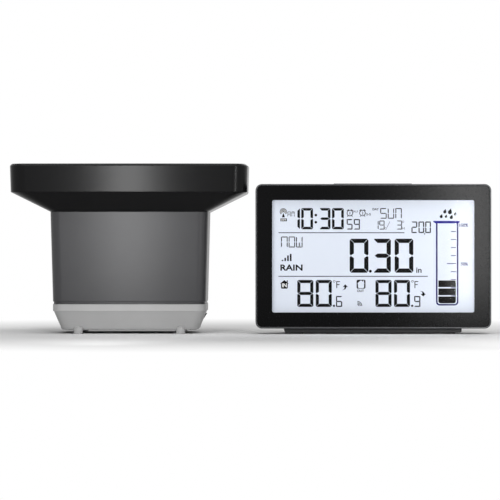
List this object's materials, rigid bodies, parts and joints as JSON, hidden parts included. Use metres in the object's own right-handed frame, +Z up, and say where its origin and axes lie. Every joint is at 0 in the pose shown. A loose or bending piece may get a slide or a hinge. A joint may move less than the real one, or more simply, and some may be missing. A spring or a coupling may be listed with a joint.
{
  "type": "wireless rain gauge",
  "caption": "Wireless rain gauge: a rectangular funnel on a drafted housing over a tipping bucket and sensor box, with a separate desk console with a wide framed screen.",
  "frame": {"origin": "on the floor under the middle of the box round the pair: the collector stands to the left, the console to the right", "axes": "+X to the right as seen from the front, +Y to the back, +Z up; both screens of the pair face -Y"},
  "size_m": [0.307, 0.1, 0.1083],
  "materials": {
    "funnel_black": "satin black moulding",
    "housing_grey": "fine-textured dark grey",
    "base_grey": "light grey moulding",
    "screen_black": "black moulding",
    "mesh_steel": "woven wire",
    "cradle_grey": "dark grey moulding",
    "screw_steel": "plated steel",
    "stop_brass": "machined brass",
    "bucket_black": "black moulding",
    "axle_steel": "ground steel",
    "magnet": "plated magnet",
    "reed_glass": "clear capsule",
    "box_grey": "light grey moulding",
    "seal_rubber": "soft black",
    "cell_wrap": "printed-less wrap",
    "spring_steel": "nickel-plated",
    "board_green": "solder resist",
    "chip_black": "moulded resin",
    "shield_steel": "tinned can",
    "wire_copper": "enamelled wire",
    "switch_black": "black",
    "reset_red": "red",
    "lamp_red": "red epoxy",
    "case_frame": "satin charcoal",
    "panel_black": "high gloss black",
    "lens_clear": "clear acrylic",
    "lcd_pale": "pale blue-white",
    "guide_white": "frosted acrylic",
    "lamp_white": "phosphor",
    "strip_rubber": "silicone",
    "resin_black": "potting resin",
    "disc_brass": "brass disc",
    "bead_blue": "resin bead",
    "rear_black": "fine-textured black",
    "pad_rubber": "soft black",
    "bar_charcoal": "satin charcoal",
    "key_grey": "moulded rubber"
  },
  "bodies": {
    "base": {"base_tray": "base_grey", "drain_screens": "mesh_steel", "bucket_cradle": "cradle_grey", "cradle_screws": "screw_steel", "stop_screws": "stop_brass", "reed_switch": "reed_glass", "sensor_box": "box_grey", "box_screws": "screw_steel", "door_seal": "seal_rubber", "sensor_cells": "cell_wrap", "sensor_springs": "spring_steel", "sensor_plates": "spring_steel", "sensor_board": "board_green", "sensor_chip": "chip_black", "sensor_radio": "shield_steel", "sensor_antenna": "wire_copper", "reset_switch": "switch_black", "status_lamp": "lamp_red", "front_case": "case_frame", "front_panel": "panel_black", "screen_lens": "lens_clear", "lcd_glass": "lcd_pale", "backlight_plate": "guide_white", "backlight_lamps": "lamp_white", "contact_strip": "strip_rubber", "display_board": "board_green", "display_chip": "resin_black", "display_radio": "shield_steel", "display_antenna": "wire_copper", "buzzer": "disc_brass", "room_sensor": "bead_blue", "rear_case": "rear_black", "case_screws": "screw_steel", "foot_pads": "pad_rubber", "display_cells": "cell_wrap", "display_springs": "spring_steel", "display_plates": "spring_steel", "snooze_switch": "switch_black", "key_switches": "switch_black"},
    "cover": {"funnel": "funnel_black", "collector_housing": "housing_grey"},
    "screen": {"leaf_screen": "screen_black"},
    "bucket": {"tipping_bucket": "bucket_black", "bucket_axle": "axle_steel", "bucket_magnet": "magnet"},
    "sensor_door": {"sensor_door": "housing_grey"},
    "reset": {"reset_plunger": "reset_red"},
    "snooze": {"snooze_bar": "bar_charcoal"},
    "set": {"set_key": "key_grey"},
    "alarm": {"alarm_key": "key_grey"},
    "history": {"history_key": "key_grey"},
    "units": {"units_key": "key_grey"},
    "up": {"up_key": "key_grey"},
    "down": {"down_key": "key_grey"},
    "cell_door": {"cell_door": "rear_black"}
  },
  "joints": [
    {"name": "cover_lift", "type": "slide", "parent": "base", "child": "cover", "axis": [0, 0, 1], "range_m": [0, 0.07]},
    {"name": "screen_lift", "type": "slide", "parent": "cover", "child": "screen", "axis": [0, 0, 1], "range_m": [0, 0.055]},
    {"name": "bucket_tip", "type": "hinge", "parent": "base", "child": "bucket", "pos_m": [-0.077, 0, 0.028], "axis": [0, -1, 0], "range_deg": [0, 36]},
    {"name": "sensor_door_off", "type": "slide", "parent": "base", "child": "sensor_door", "axis": [0, 1, 0], "range_m": [0, 0.03]},
    {"name": "reset_press", "type": "slide", "parent": "base", "child": "reset", "axis": [0, -1, 0], "range_m": [0, 0.0004], "stiffness_N_per_m": 500},
    {"name": "snooze_press", "type": "slide", "parent": "base", "child": "snooze", "axis": [0, 0, -1], "range_m": [0, 0.0006], "stiffness_N_per_m": 900},
    {"name": "set_press", "type": "slide", "parent": "base", "child": "set", "axis": [0, -1, 0], "range_m": [0, 0.0008], "stiffness_N_per_m": 500},
    {"name": "alarm_press", "type": "slide", "parent": "base", "child": "alarm", "axis": [0, -1, 0], "range_m": [0, 0.0008], "stiffness_N_per_m": 500},
    {"name": "history_press", "type": "slide", "parent": "base", "child": "history", "axis": [0, -1, 0], "range_m": [0, 0.0008], "stiffness_N_per_m": 500},
    {"name": "units_press", "type": "slide", "parent": "base", "child": "units", "axis": [0, -1, 0], "range_m": [0, 0.0008], "stiffness_N_per_m": 500},
    {"name": "up_press", "type": "slide", "parent": "base", "child": "up", "axis": [0, -1, 0], "range_m": [0, 0.0008], "stiffness_N_per_m": 500},
    {"name": "down_press", "type": "slide", "parent": "base", "child": "down", "axis": [0, -1, 0], "range_m": [0, 0.0008], "stiffness_N_per_m": 500},
    {"name": "cell_door_off", "type": "slide", "parent": "base", "child": "cell_door", "axis": [0, 1, 0], "range_m": [0, 0.03]}
  ]
}
